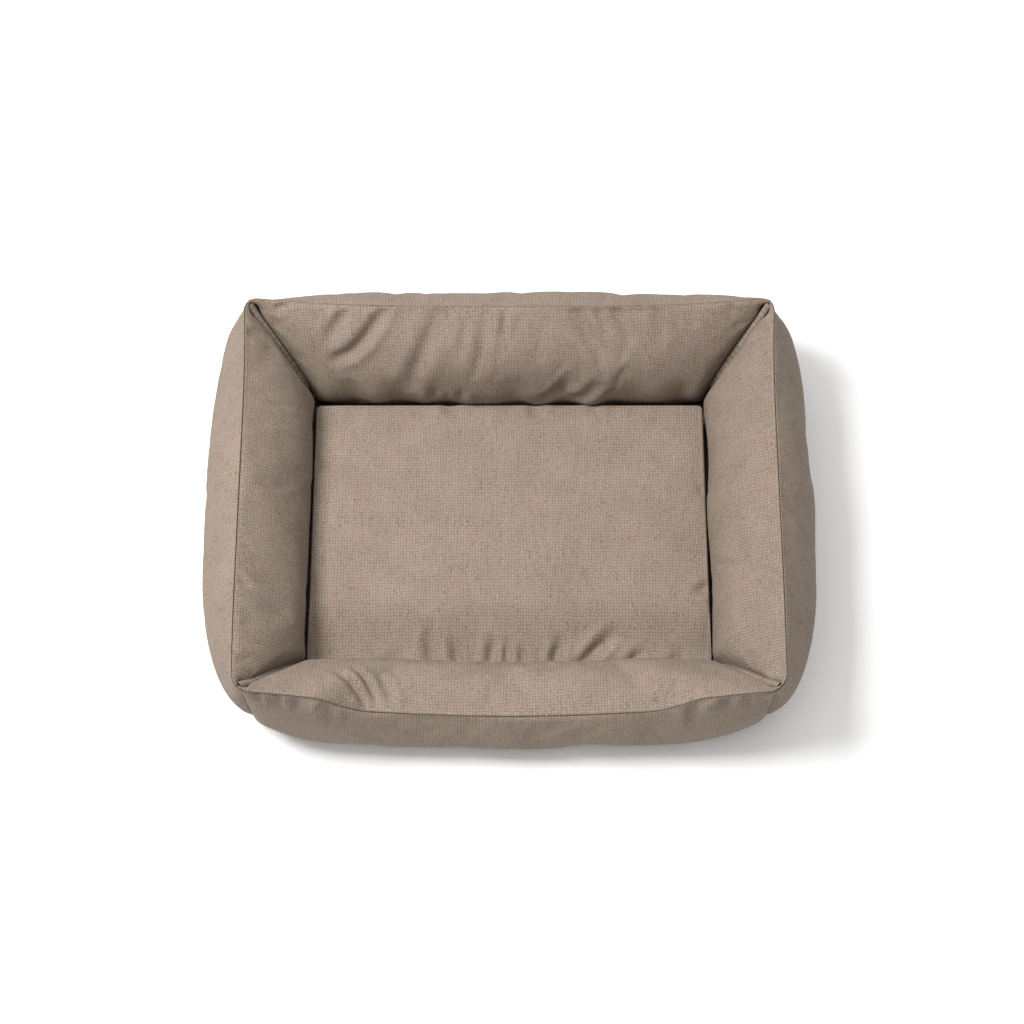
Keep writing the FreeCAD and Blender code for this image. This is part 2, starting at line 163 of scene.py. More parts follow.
def basket_weave(name, colours, cell):
    """Heathered polyester basket weave: soft and matt, with pairs of threads crossing in small
    squares, each thread spun from beige, grey and brown fibres. cell is one square, in mm."""
    material, tree, shader = new_material(name)
    cloth = add_node(tree, "ShaderNodeUVMap", uv_map="weave")
    # The threads aren't quite straight or evenly spaced
    wander = add_node(tree, "ShaderNodeTexNoise",
                      {"Vector": cloth.outputs["UV"], "Scale": 1000 / 14, "Detail": 1.0},
                      noise_dimensions="2D")
    pushed = add_node(tree, "ShaderNodeVectorMath",
                      {0: wander.outputs["Color"], 1: (2.4 * MM,) * 3, 2: cloth.outputs["UV"]},
                      operation="MULTIPLY_ADD")
    squares = add_node(tree, "ShaderNodeVectorMath",
                       {0: pushed.outputs[0], 1: (1000 / cell,) * 3}, operation="MULTIPLY")
    split = add_node(tree, "ShaderNodeSeparateXYZ", {0: squares.outputs[0]})
    over = add_node(tree, "ShaderNodeTexChecker",
                    {"Vector": squares.outputs[0], "Scale": 1.0, "Color1": (1, 1, 1, 1),
                     "Color2": (0, 0, 0, 1)})
    heights = []
    fibres = []
    for i in (0, 1):
        across = split.outputs[i]
        along = split.outputs[1 - i]
        waves = []
        for coordinate, turns in ((across, 2), (along, 1)):
            wave = coordinate
            for step in ("MULTIPLY", "SINE", "ABSOLUTE"):
                wave = add_node(tree, "ShaderNodeMath", {0: wave, 1: turns * math.pi},
                                operation=step).outputs[0]
            waves.append(wave)
        round_thread = add_node(tree, "ShaderNodeMath", {0: waves[0], 1: 0.55},
                                operation="POWER")
        heights.append(add_node(tree, "ShaderNodeMath",
                                {0: round_thread.outputs[0], 1: waves[1]},
                                operation="MULTIPLY"))
        # Each thread has its own colour, which changes slowly along it
        count = add_node(tree, "ShaderNodeMath", {0: across, 1: 2.0}, operation="MULTIPLY")
        thread = add_node(tree, "ShaderNodeMath", {0: count.outputs[0]}, operation="FLOOR")
        apart = add_node(tree, "ShaderNodeMath", {0: thread.outputs[0], 1: 5.7},
                         operation="MULTIPLY")
        slow = add_node(tree, "ShaderNodeMath", {0: along, 1: (0.16, 0.5)[i]},
                        operation="MULTIPLY")
        place = add_node(tree, "ShaderNodeCombineXYZ",
                         {0: apart.outputs[0], 1: slow.outputs[0], 2: 7.0 * i})
        fibres.append(add_node(tree, "ShaderNodeTexNoise",
                               {"Vector": place.outputs[0], "Scale": 1.0, "Detail": 2.0,
                                "Roughness": 0.8}, noise_dimensions="3D"))
    height = add_node(tree, "ShaderNodeMix",
                      {"Factor": over.outputs["Fac"], "A": heights[0].outputs[0],
                       "B": heights[1].outputs[0]}, data_type="FLOAT")
    fibre = add_node(tree, "ShaderNodeMix",
                     {"Factor": over.outputs["Fac"], "A": fibres[0].outputs["Fac"],
                      "B": fibres[1].outputs["Fac"]}, data_type="FLOAT")
    ramp = add_node(tree, "ShaderNodeValToRGB", {"Fac": fibre.outputs[0]})
    stops = ramp.color_ramp.elements
    for place, colour in zip((0.28, 0.41, 0.50, 0.59, 0.72), colours):
        stop = stops.new(place)
        stop.color = colour
    stops.remove(stops[0])
    stops.remove(stops[-1])
    # Painted shade darkens the cloth between the threads, and painted light brightens the
    # thread tops. Broad patches of it differ a little.
    patches = add_node(tree, "ShaderNodeTexNoise",
                       {"Vector": cloth.outputs["UV"], "Scale": 28.0, "Detail": 2.0},
                       noise_dimensions="2D")
    painted_gap_shade = add_node(tree, "ShaderNodeMapRange",
                         {"Value": height.outputs[0], "From Min": 0.0, "From Max": 0.8,
                          "To Min": 0.60, "To Max": 1.13})
    patch_shade = add_node(tree, "ShaderNodeMapRange",
                           {"Value": patches.outputs["Fac"], "From Min": 0.3, "From Max": 0.7,
                            "To Min": 0.95, "To Max": 1.05})
    shade = add_node(tree, "ShaderNodeMath", {0: painted_gap_shade.outputs[0], 1: patch_shade.outputs[0]},
                     operation="MULTIPLY")
    coloured = add_node(tree, "ShaderNodeVectorMath",
                        {0: ramp.outputs["Color"], 1: shade.outputs[0]}, operation="MULTIPLY")
    bump = add_node(tree, "ShaderNodeBump",
                    {"Height": height.outputs[0], "Strength": 0.55, "Distance": 0.5 * MM})
    tree.links.new(coloured.outputs[0], shader.inputs["Base Color"])
    tree.links.new(bump.outputs[0], shader.inputs["Normal"])
    shader.inputs["Roughness"].default_value = 0.92
    shader.inputs["Specular IOR Level"].default_value = 0.12
    shader.inputs["Sheen Weight"].default_value = 0.04
    shader.inputs["Sheen Roughness"].default_value = 0.5
    return material


def speckled(name, colour, second, grain, roughness, bump_depth, metallic=0.0):
    """A plain material with a fine grain: grain is its size in mm and bump_depth its height."""
    material, tree, shader = new_material(name)
    place = add_node(tree, "ShaderNodeTexCoord")
    noise = add_node(tree, "ShaderNodeTexNoise",
                     {"Vector": place.outputs["Object"], "Scale": 1000 / grain, "Detail": 3.0})
    blend = add_node(tree, "ShaderNodeMix",
                     {"Factor": noise.outputs["Fac"], "A": linear(colour), "B": linear(second)},
                     data_type="RGBA")
    tone = add_node(tree, "ShaderNodeMapRange",
                    {"Value": noise.outputs["Fac"], "From Min": 0.3, "From Max": 0.7,
                     "To Min": roughness - 0.08, "To Max": min(1.0, roughness + 0.08)})
    bump = add_node(tree, "ShaderNodeBump",
                    {"Height": noise.outputs["Fac"], "Strength": 0.5, "Distance": bump_depth * MM})
    tree.links.new(blend.outputs["Result"], shader.inputs["Base Color"])
    tree.links.new(tone.outputs[0], shader.inputs["Roughness"])
    tree.links.new(bump.outputs[0], shader.inputs["Normal"])
    shader.inputs["Metallic"].default_value = metallic
    return material


# ---- The walls' shape ---------------------------------------------------------------------------

FOOT_Z = 1.8                  # where the walls meet the base cloth
MITRE_GAP = 0.3               # each wall's end, from the mitre plane
MITRE_CLOTH_HALF = 3.0        # half the thickness of a divider with its pressed filling
# A divider's size across and up, as a share of the walls' section there
MITRE_CLOTH_SHARE = (0.82, 0.94, 1.0)
CORNER_X, REAR_Y, FRONT_Y = 257.0, 189.0, 208.0
WALL_THICK = 57.0
ALONG_STEP = 3.5
SECTION_STEP = 3.5
# Rows beside the ridge seam, where the cloth turns sharply
SEAM_ROWS = (0.0, 0.7, 1.5, 2.6, 4.1, 6.0, 8.4, 11.2, 14.6)


def section(ridge_t, ridge_z, outer_t, outer_z, outer_foot, inner_t, inner_z, inner_foot,
            outer_power=2.2, inner_power=2.2):
    """A wall's section. A power of 1 is a straight panel, and a higher one is fuller."""
    return dict(ridge_t=ridge_t, ridge_z=ridge_z, outer_t=outer_t, outer_z=outer_z,
                outer_foot=outer_foot, inner_t=inner_t, inner_z=inner_z, inner_foot=inner_foot,
                outer_power=outer_power, inner_power=inner_power)


def mitre(tip, rear):
    """The section where two walls meet. The rear corners flare out and are full, and the front
    ones are pinched in."""
    inner = tip - WALL_THICK
    if rear:
        return section(tip + 8, 166, tip + 25, 80, tip + 8, inner, 70, inner + 27, 1.5, 1.25)
    return section(tip + 1, 166, tip - 2, 74, tip - 20, inner, 70, inner + 24, 1.3, 1.25)


def level(s):
    return s ** 4


def stepped(s):
    return (0.35 * smooth(s) + 0.35 * smooth((s - 0.5) / 0.22)
            + 0.3 * np.maximum(0, s - 0.62) / 0.38)


class Wall:
    """A wall's sections, its place in the bed and its folds. ends gives, for each end, whether it
    is at a rear corner, how quickly the section changes towards it, and how far its cloth dives
    into the corner: a share of the tuck."""

    def __init__(self, name, turn, tip_t, low, high, mid, dip, ends, folds):
        self.name, self.turn, self.tip_t = name, turn, tip_t
        self.low, self.high, self.mid, self.dip = low, high, mid, dip
        self.ends, self.folds = ends, folds

    def sections(self, s):
        """The section's measures at each station s, from -1 at one mitre to 1 at the other."""
        made = {}
        flat = self.dip(np.abs(s))
        for k in self.mid:
            value = np.full(len(s), float(self.mid[k]))
            for sign, (rear, power, _) in zip((-1, 1), self.ends):
                end = mitre(self.tip_t, rear)[k]
                fade = flat if k in ("ridge_t", "ridge_z", "inner_power") else np.abs(s) ** power
                value = np.where(s * sign > 0, mix(self.mid[k], end, fade), value)
            made[k] = value[:, None]
        return made

    def tuck(self, s):
        return np.where(s < 0, self.ends[0][2], self.ends[1][2])[:, None]

    def limits(self, t):
        """The lowest and highest place along the wall at t, on its two mitres."""
        return (self.low + self.tip_t - t + MITRE_GAP * math.sqrt(2),
                self.high - self.tip_t + t - MITRE_GAP * math.sqrt(2))

    def world(self, along, t, z):
        """Turns wall coordinates into the bed's. turn is the number of quarter turns."""
        x, y = along, t
        for _ in range(self.turn):
            x, y = -y, x
        return np.stack([x, y, z], axis=-1)


def panel_curve(d, side, count=48):
    """A panel's curve from the ridge to its foot, as t and z arrays of (stations, count)."""
    angle = np.linspace(0, math.pi / 2, count)[None, :]
    c = np.cos(angle)
    under = 2.6 if side == "inner" else 1.7
    upper_t = mix(d[side + "_t"], d["ridge_t"], c ** d[side + "_power"])
    upper_z = mix(d[side + "_z"], d["ridge_z"], c)
    lower_t = mix(d[side + "_foot"], d[side + "_t"], c ** under)
    lower_z = mix(d[side + "_z"], FOOT_Z, np.sin(angle))
    t = np.concatenate([upper_t[:, :-1], lower_t], axis=1)
    z = np.concatenate([upper_z[:, :-1], lower_z], axis=1)
    return t, z


def resample(t, z, rows):
    """Points along each station's curve: near the ridge at the seam rows' true distances, then
    evenly to the foot. Gives t, z and the distance from the ridge."""
    steps = np.hypot(np.diff(t, axis=1), np.diff(z, axis=1))
    run = np.concatenate([np.zeros((len(t), 1)), np.cumsum(steps, axis=1)], axis=1)
    near = np.array(SEAM_ROWS)
    out = []
    for i in range(len(t)):
        even = np.linspace(near[-1], run[i, -1], rows + 1)[1:]
        want = np.concatenate([near, even])
        out.append((np.interp(want, run[i], t[i]), np.interp(want, run[i], z[i]), want))
    return (np.array([o[k] for o in out]) for k in range(3))


def grid_normals(points):
    """Normals of a (stations, rows) grid whose rows close on themselves."""
    along = np.gradient(points, axis=0)
    wrapped = np.concatenate([points[:, -1:], points, points[:, :1]], axis=1)
    across = (wrapped[:, 2:] - wrapped[:, :-2]) / 2
    normal = np.cross(across, along)
    return normal / np.maximum(np.linalg.norm(normal, axis=-1, keepdims=True), 1e-9)


def fold_field(a, b, folds):
    """The height of the cloth over its even surface, from a list of folds. a is the place along
    the wall and b the distance from the ridge, over the inner panel when it is positive. A fold is
    (path, width, depth): a furrow along the path, with the cloth raised at each side of it."""
    height = np.zeros_like(a)
    for path, width, depth in folds:
        path = np.array(path, dtype=float)
        best = np.full(a.shape, 1e9)
        share = np.zeros_like(a)
        lengths = np.hypot(*np.diff(path, axis=0).T)
        start = 0.0
        for (p, q), length in zip(zip(path, path[1:]), lengths):
            along = ((a - p[0]) * (q[0] - p[0]) + (b - p[1]) * (q[1] - p[1])) / length ** 2
            held = np.clip(along, 0, 1)
            gap = np.hypot(a - mix(p[0], q[0], held), b - mix(p[1], q[1], held))
            nearer = gap < best
            best = np.where(nearer, gap, best)
            share = np.where(nearer, (start + held * length) / lengths.sum(), share)
            start += length
        fade = np.sin(np.pi * np.clip(share, 0.0, 1.0)) ** 0.6 * 0.75 + 0.25
        x = best / width
        height += depth * fade * (-np.exp(-x * x) + 0.55 * np.exp(-((x - 1.7) / 0.8) ** 2))
    return height


def ripple(a, b, seed, length, height):
    """Slow unevenness of a stuffed surface, made of a few sine waves with a fixed seed."""
    rng = np.random.default_rng(seed)
    total = np.zeros_like(a)
    for _ in range(7):
        angle, phase = rng.uniform(0, 2 * math.pi, 2)
        size = length * rng.uniform(0.7, 1.6)
        total += np.sin((a * math.cos(angle) + b * math.sin(angle)) * 2 * math.pi / size + phase)
    return total * height / 7


def round_corners(points):
    """Rounds the bed's four upright corners, seen from above, about a point inside each."""
    x, y = points[..., 0], points[..., 1]
    centre_x = np.where(y > 0, CORNER_X - 7, CORNER_X - 15)
    centre_y = np.where(y > 0, REAR_Y - 7, FRONT_Y - 15)
    u = np.abs(x) - centre_x
    w = np.abs(y) - centre_y
    both = (u > 0) & (w > 0)
    scale = np.where(both, np.maximum(u, w) / np.maximum(np.hypot(u, w), 1e-9), 1.0)
    out = points.copy()
    out[..., 0] = np.where(both, np.sign(x) * (centre_x + u * scale), x)
    out[..., 1] = np.where(both, np.sign(y) * (centre_y + w * scale), y)
    return out


BACK_FOLDS = [
    ([(-124, 4), (-136, 22), (-147, 38), (-160, 52), (-178, 61)], 6.0, 6.5),
    ([(-160, 4), (-174, 24), (-181, 36)], 6.0, 4.0),
    ([(-223, 2), (-232, 12)], 4.5, 3.5),
    ([(-69, 5), (-78, 27), (-88, 52), (-99, 76), (-103, 92)], 9.0, 3.6),
    ([(-59, 8), (-62, 38)], 6.0, 2.2),
    ([(-45, 18), (-48, 54)], 7.0, 1.8),
    ([(-24, 8), (-28, 38), (-32, 64), (-36, 80)], 7.0, 2.6),
    ([(-4, 1), (-5, 28)], 4.0, 3.2),
    ([(30, 20), (32, 60)], 8.0, 1.4),
    ([(63, 1), (77, 28), (91, 48), (96, 66)], 7.5, 3.8),
    ([(87, 4), (98, 26)], 4.5, 3.0),
    ([(104, 1), (114, 18), (121, 34)], 5.0, 3.2),
    ([(145, 6), (156, 30)], 6.0, 2.4),
    ([(217, 1), (226, 14)], 5.0, 2.6),
    ([(60, 84), (50, 103), (28, 114)], 7.5, 3.6),
    ([(92, 86), (80, 104), (66, 116)], 7.0, 3.2),
    ([(-77, 98), (-80, 120)], 5.0, 3.0),
    ([(-50, 98), (-51, 120)], 5.0, 3.0),
]
FRONT_FOLDS = [
    ([(134, 2), (141, 14), (152, 28), (166, 42)], 4.5, 5.0),
    ([(125, 3), (130, 18), (139, 34), (150, 46)], 4.0, 4.6),
    ([(112, 8), (115, 24), (122, 36)], 5.0, 2.2),
    ([(-138, 3), (-146, 18), (-160, 34)], 5.0, 4.2),
    ([(-150, 12), (-164, 30), (-178, 40)], 6.0, -2.4),
    ([(-24, 52), (-55, 60)], 7.0, 1.2),
    ([(186, -4), (183, -20)], 8.0, -3.4),
    ([(172, -2), (176, -34)], 6.0, 3.0),
    ([(236, -3), (237, -26)], 4.0, 3.4),
    ([(218, -3), (219, -30)], 4.5, 3.4),
    ([(201, -3), (203, -26)], 4.0, 3.0),
    ([(-188, -4), (-185, -22)], 8.0, -3.2),
    ([(-172, -2), (-178, -36)], 6.5, 3.2),
    ([(-203, -3), (-205, -26)], 4.5, 3.0),
    ([(-222, -3), (-224, -26)], 4.0, 2.6),
    ([(60, -24), (110, -40)], 7.0, 1.4),
    ([(-90, -26), (-40, -44)], 8.0, 1.2),
]
LEFT_FOLDS = [
    ([(-98, 5), (-104, 18)], 5, 1.8),
    ([(160, 5), (166, 26)], 6, 3.0),
    ([(176, 6), (176, 30)], 4, 2.2),
    ([(-178, 5), (-176, 22)], 5, 2.0),
]
RIGHT_FOLDS = [
    ([(98, 4), (86, 22)], 5, 3.2),
    ([(118, 4), (112, 18)], 5, 1.6),
    ([(-160, 6), (-166, 28)], 6, 2.4),
    ([(-30, 4), (-28, 20)], 6, 1.2),
]


def walls():
    side_mid = section(261, 159, 305, 76, 284, 200, 70, 226)
    back_mid = section(188, 163, 236, 82, 216, 124.5, 70, 161)
    front_mid = section(216, 97, 232, 56, 218, 152, 68, 179, 2.0, 4.0)
    back_end, front_end = (True, 4.0, 0.75), (False, 4.0, 0.45)
    side_rear, side_front = (True, 2.8, 0.45), (False, 2.7, 0.6)
    return [
        Wall("back", 0, REAR_Y, -CORNER_X, CORNER_X, back_mid, level,
             (back_end, back_end), BACK_FOLDS),
        Wall("left", 1, CORNER_X, -FRONT_Y, REAR_Y, side_mid, level,
             (side_front, side_rear), LEFT_FOLDS),
        Wall("front", 2, FRONT_Y, -CORNER_X, CORNER_X, front_mid, stepped,
             (front_end, front_end), FRONT_FOLDS),
        Wall("right", 3, CORNER_X, -REAR_Y, FRONT_Y, side_mid, level,
             (side_rear, side_front), RIGHT_FOLDS),
    ]


def wall_surface(wall, settings):
    """The wall's cloth as a closed grid of (stations, rows) points, with its flat coordinates and
    the signed distance of each row from the ridge: positive on the inner panel."""
    columns = int((wall.high - wall.low) / ALONG_STEP)
    s = np.linspace(-1, 1, columns + 1)
    s = mix(s, np.sin(s * math.pi / 2), 0.35)
    d = wall.sections(s)
    inner_t, inner_z, inner_d = resample(*panel_curve(d, "inner"), int(165 / SECTION_STEP))
    outer_t, outer_z, outer_d = resample(*panel_curve(d, "outer"), int(160 / SECTION_STEP))
    floor = np.linspace(0, 1, 10)[None, 1:-1]
    base_t = mix(inner_t[:, -1:], outer_t[:, -1:], floor)
    base_z = np.full_like(base_t, FOOT_Z)
    base_d = inner_d[:, -1:] + floor * (outer_t[:, -1:] - inner_t[:, -1:])
    t = np.concatenate([inner_t, base_t, outer_t[:, :0:-1]], axis=1)
    z = np.concatenate([inner_z, base_z, outer_z[:, :0:-1]], axis=1)
    ridge = np.concatenate([inner_d, base_d, -outer_d[:, :0:-1]], axis=1)
    low, high = wall.limits(t)
    along = mix(low, high, (s[:, None] + 1) / 2)
    points = wall.world(along, t, z)
    normal = grid_normals(points)
    # The ends of the wall are rounded off into the mitres, less at the ridge and the foot
    from_mitre = np.minimum(along - low, high - along) / math.sqrt(2)
    share = wall.tuck(s)
    hollow = np.exp(-((ridge - 12) / 6) ** 2)
    reach = settings.tuck_width * np.where(ridge > 0, 0.4 + 0.6 * share, 0.8)
    depth = settings.tuck_depth * np.where(ridge > 0, share + 1.1 * hollow, 0.4)
    x = np.clip(1 - from_mitre / reach, 0, 1)
    off_ridge = smooth((np.abs(ridge) - 2) / np.where(ridge > 0, 9, 22))
    off_foot = smooth((z - FOOT_Z) / 25)
    height = -depth * (1 - np.sqrt(1 - 0.98 * x * x)) * off_ridge * off_foot
    # Folds and the slow unevenness of the filling
    held = smooth(np.abs(ridge) / 7) * off_foot * smooth(from_mitre / 14)
    height = height + settings.fold_depth * held * fold_field(along, ridge, wall.folds)
    height = height + held * ripple(along, ridge, 11 + wall.turn, 120, settings.unevenness)
    if wall.name == "back":
        # The rear wall's lower edge is scalloped where it lies on the cushion
        low_edge = np.exp(-((ridge - 112) / 22) ** 2) * held
        height = height + low_edge * ripple(along, ridge * 0.3, 29, 46, 6.5)
    points = points + normal * height[..., None]
    flat = np.stack([along, np.cumsum(np.concatenate(
        [np.zeros((len(s), 1)), np.hypot(np.diff(t, axis=1), np.diff(z, axis=1))], axis=1),
        axis=1)], axis=-1)
    return points, flat, ridge, from_mitre, normal


def fan(ring, middle, flip=False):
    """The triangles between a ring of vertex numbers and the one in its middle."""
    faces = [[int(a), int(b), middle] for a, b in zip(ring, np.roll(ring, -1))]
    return [face[::-1] for face in faces] if flip else faces


def close_grid(points, flat, rings=5):
    """Vertices, faces and flat coordinates of a grid whose rows close on themselves, with each
    end filled by rings that shrink to its middle."""
    columns, rows = points.shape[:2]
    verts = [points.reshape(-1, 3)]
    flats = [flat.reshape(-1, 2)]
    index = np.arange(columns * rows).reshape(columns, rows)
    faces = quads(index, around=True)
    count = columns * rows
    for end, flip in ((0, True), (columns - 1, False)):
        middle = points[end].mean(axis=0)
        flat_middle = flat[end].mean(axis=0)
        previous = index[end]
        for r in range(1, rings):
            share = r / rings
            verts.append(mix(points[end], middle, share))
            flats.append(mix(flat[end], flat_middle, share))
            ring = np.arange(count, count + rows)
            count += rows
            faces += quads(np.stack([previous, ring]), around=True, flip=flip)
            previous = ring
        verts.append(middle[None])
        flats.append(flat_middle[None])
        faces += fan(previous, count, flip)
        count += 1
    return np.concatenate(verts), np.concatenate(flats), faces


# ---- Sewing, filling and finishing --------------------------------------------------------------

FILLING_CAP = 9.0             # the furthest that the filling may push the cloth
EXTRA_CLOTH = 0.006           # how much larger the cloth is cut, as a share
STITCH_PROFILE = [(-1.2, 0.18), (-0.7, 0.42), (0.7, 0.42), (1.2, 0.18)]

def inflate(piece, hold, pressure, cap, extra, frames=14):
    """Fills the piece with the cloth simulation: pressure from inside, held where hold is true.
    extra is how much larger the cloth is cut than the seams it is gathered to. No point moves
    further than cap, in mm."""
    before = read_points(piece)
    group = piece.vertex_groups.new(name="held")
    group.add(np.flatnonzero(hold).tolist(), 1.0, "REPLACE")
    cloth = piece.modifiers.new("filling", "CLOTH")
    cloth.settings.quality = 4
    cloth.settings.mass = 0.3
    cloth.settings.tension_stiffness = 18
    cloth.settings.compression_stiffness = 18
    cloth.settings.shear_stiffness = 6
    cloth.settings.bending_stiffness = 0.6
    cloth.settings.vertex_group_mass = "held"
    cloth.settings.pin_stiffness = 1.0
    cloth.settings.shrink_min = -extra
    cloth.settings.use_pressure = True
    cloth.settings.uniform_pressure_force = pressure
    cloth.settings.effector_weights.gravity = 0.0
    cloth.collision_settings.use_collision = False
    cloth.point_cache.frame_start = 1
    cloth.point_cache.frame_end = frames
    scene = bpy.context.scene
    for number in range(1, frames + 1):
        scene.frame_set(number)
    graph = bpy.context.evaluated_depsgraph_get()
    filled = piece.evaluated_get(graph)
    after = np.empty(len(before) * 3)
    filled.data.vertices.foreach_get("co", after)
    after = after.reshape(-1, 3) / MM
    piece.modifiers.remove(cloth)
    piece.vertex_groups.clear()
    scene.frame_set(1)
    move = after - before
    far = np.linalg.norm(move, axis=1, keepdims=True)
    move *= np.minimum(1.0, cap / np.maximum(far, 1e-6))
    write_points(piece, before + move)


def subdivide(piece, levels=1):
    """Smooths the piece with a Subdivision Surface."""
    made = piece.modifiers.new("smooth", "SUBSURF")
    made.levels = levels
    made.render_levels = levels
    made.boundary_smooth = "PRESERVE_CORNERS"


def bake_modifiers(piece):
    """Turns the piece's modifiers into a plain mesh."""
    graph = bpy.context.evaluated_depsgraph_get()
    mesh = bpy.data.meshes.new_from_object(piece.evaluated_get(graph), depsgraph=graph)
    mesh.name = piece.name
    piece.modifiers.clear()
    piece.data = mesh


def scatter_tree(name, unit, material, spread, seed, along_curve):
    """A Geometry Nodes tree that sets copies of a unit on each point, or every step along a line,
    turned to follow it. spread is how much the copies differ in size."""
    tree = bpy.data.node_groups.new(name, "GeometryNodeTree")
    face = tree.interface
    face.new_socket("Geometry", in_out="INPUT", socket_type="NodeSocketGeometry")
    step, size = (face.new_socket(label, in_out="INPUT", socket_type="NodeSocketFloat")
                  for label in ("Step", "Size"))
    face.new_socket("Geometry", in_out="OUTPUT", socket_type="NodeSocketGeometry")
    enter = add_node(tree, "NodeGroupInput")
    leave = add_node(tree, "NodeGroupOutput")
    source = enter.outputs["Geometry"]
    rotation = None
    if along_curve:
        line = add_node(tree, "GeometryNodeMeshToCurve", {"Mesh": source})
        even = add_node(tree, "GeometryNodeResampleCurve",
                        {"Curve": line.outputs[0], "Length": enter.outputs["Step"]}, mode="LENGTH")
        source = even.outputs[0]
        tangent = add_node(tree, "GeometryNodeInputTangent")
        align = add_node(tree, "FunctionNodeAlignRotationToVector",
                         {"Vector": tangent.outputs[0]}, axis="X")
        rotation = align.outputs[0]
    stock = add_node(tree, "GeometryNodeObjectInfo", {"Object": unit})
    vary = add_node(tree, "FunctionNodeRandomValue",
                    {2: 1.0 - spread, 3: 1.0 + spread, "Seed": seed}, data_type="FLOAT")
    scaled = add_node(tree, "ShaderNodeMath",
                      {0: vary.outputs[1], 1: enter.outputs["Size"]}, operation="MULTIPLY")
    copies = {"Points": source, "Instance": stock.outputs["Geometry"],
              "Scale": scaled.outputs[0]}
    if rotation is not None:
        copies["Rotation"] = rotation
    put = add_node(tree, "GeometryNodeInstanceOnPoints", copies)
    real = add_node(tree, "GeometryNodeRealizeInstances", {"Geometry": put.outputs[0]})
    paint = add_node(tree, "GeometryNodeSetMaterial",
                     {"Geometry": real.outputs[0], "Material": material})
    tree.links.new(paint.outputs[0], leave.inputs["Geometry"])
    return tree, step.identifier, size.identifier


def scatter(name, points, edges, unit, material, step, size, spread=0.0, seed=1):
    """Sets copies of a unit mesh on points, or along the line that edges make of them."""
    piece = new_object(name, points, edges, [])
    tree, step_id, size_id = scatter_tree(name + "_tree", unit, material, spread, seed,
                                          bool(edges))
    nodes = piece.modifiers.new("repeat", "NODES")
    nodes.node_group = tree
    nodes[step_id] = step * MM
    nodes[size_id] = size
    bake_modifiers(piece)
    if not piece.data.materials:
        piece.data.materials.append(material)
    piece.data.polygons.foreach_set("use_smooth", [True] * len(piece.data.polygons))
    bpy.data.objects.remove(unit)
    return piece


def lathe_unit(name, profile, turns):
    """A small round unit about the X axis, from (x, radius) points."""
    angles = [2 * math.pi * i / turns for i in range(turns)]
    points = [(x, radius * math.cos(angle), radius * math.sin(angle))
              for x, radius in profile for angle in angles]
    ids = np.arange(len(points)).reshape(len(profile), turns)
    faces = quads(ids, around=True) + [ids[0, ::-1].tolist(), ids[-1].tolist()]
    return new_object(name, points, [], faces)


def ring_unit(name, half_height, half_depth, wire, turns=10, sides=5):
    """One turn of a zip's coil: an oval ring of round wire, standing across the X axis."""
    points = []
    for i in range(turns):
        angle = 2 * math.pi * i / turns
        middle = np.array((0.0, math.cos(angle) * half_depth, math.sin(angle) * half_height))
        out = np.array((0.0, math.cos(angle) / half_depth, math.sin(angle) / half_height))
        out /= np.linalg.norm(out)
        for j in range(sides):
            turn = 2 * math.pi * j / sides
            points.append(middle + wire * (math.cos(turn) * out
                                           + np.array((math.sin(turn), 0.0, 0.0))))
    ids = np.arange(turns * sides).reshape(turns, sides)
    ids = np.concatenate([ids, ids[:1]])
    return new_object(name, points, [], quads(ids, around=True, flip=True))


# ---- The cushion's shape ------------------------------------------------------------------------

CUSHION_FOLDS = [
    # Gathers along the front edge, from the edge inwards: (path, width, depth)
    ([(-116, -150), (-112, -134)], 8.0, 2.2),
    ([(-77, -150), (-79, -114)], 7.0, 4.2),
    ([(-51, -150), (-55, -130)], 5.0, 3.4),
    ([(-19, -150), (-16, -125)], 5.5, 4.8),
    ([(-2, -150), (-3, -127)], 4.5, 4.4),
    ([(15, -150), (12, -134)], 4.5, 3.4),
    ([(45, -150), (50, -127)], 5.5, 4.8),
    ([(72, -150), (88, -133), (103, -119)], 6.0, 5.4),
    ([(120, -150), (132, -136)], 6.0, 3.8),
    ([(165, -150), (168, -138)], 7.0, 2.2),
    ([(200, -72), (186, -78)], 5.0, 4.5),
    ([(200, 30), (190, 31)], 6.0, 2.0),
    ([(-199, 60), (-188, 58)], 7.0, 2.0),
    # Small dents along the rear edge, under the wall
    ([(-62, 126), (-61, 114)], 7.0, 2.2),
    ([(26, 126), (28, 112)], 7.0, 2.2),
    ([(88, 126), (86, 116)], 6.0, 1.8),
]


# Rows of the cushion's edge, as heights over its seam: the zip's slot is in the first three
EDGE_ROWS = (0.0, 2.8, 4.7, 5.4, 6.1, 7.6, 9.5)
STITCH_ROW = 5
RIM = 6.0                     # how far over and under the seam the edge is drawn in
# How far the stuffed cover stands past the sewn one at its low and high corners
CUSHION_SPREAD_LOW = (5.6, 1.0, 0.0)
CUSHION_SPREAD_HIGH = (5.6, 5.4, 0.0)

# The zip, as distances from the seam's height and from the cushion's middle
SLOT_HALF_HEIGHT, SLOT_HALF_LENGTH = 5.0, 156.0
SLOT_CLEARANCE = 1.6          # behind the slider
STITCH_HALF_LENGTH = 160.0
TAPE_EDGES = (2.6, 8.2)
COIL_MIDDLE, COIL_LENGTH = 2.0, 290.0
ZIP_VALLEY = 6.5              # how far the rear edge is drawn in along the zip
UNDERSIDE_TUCK = 5.0          # how much smaller the underside is than the top, on each side


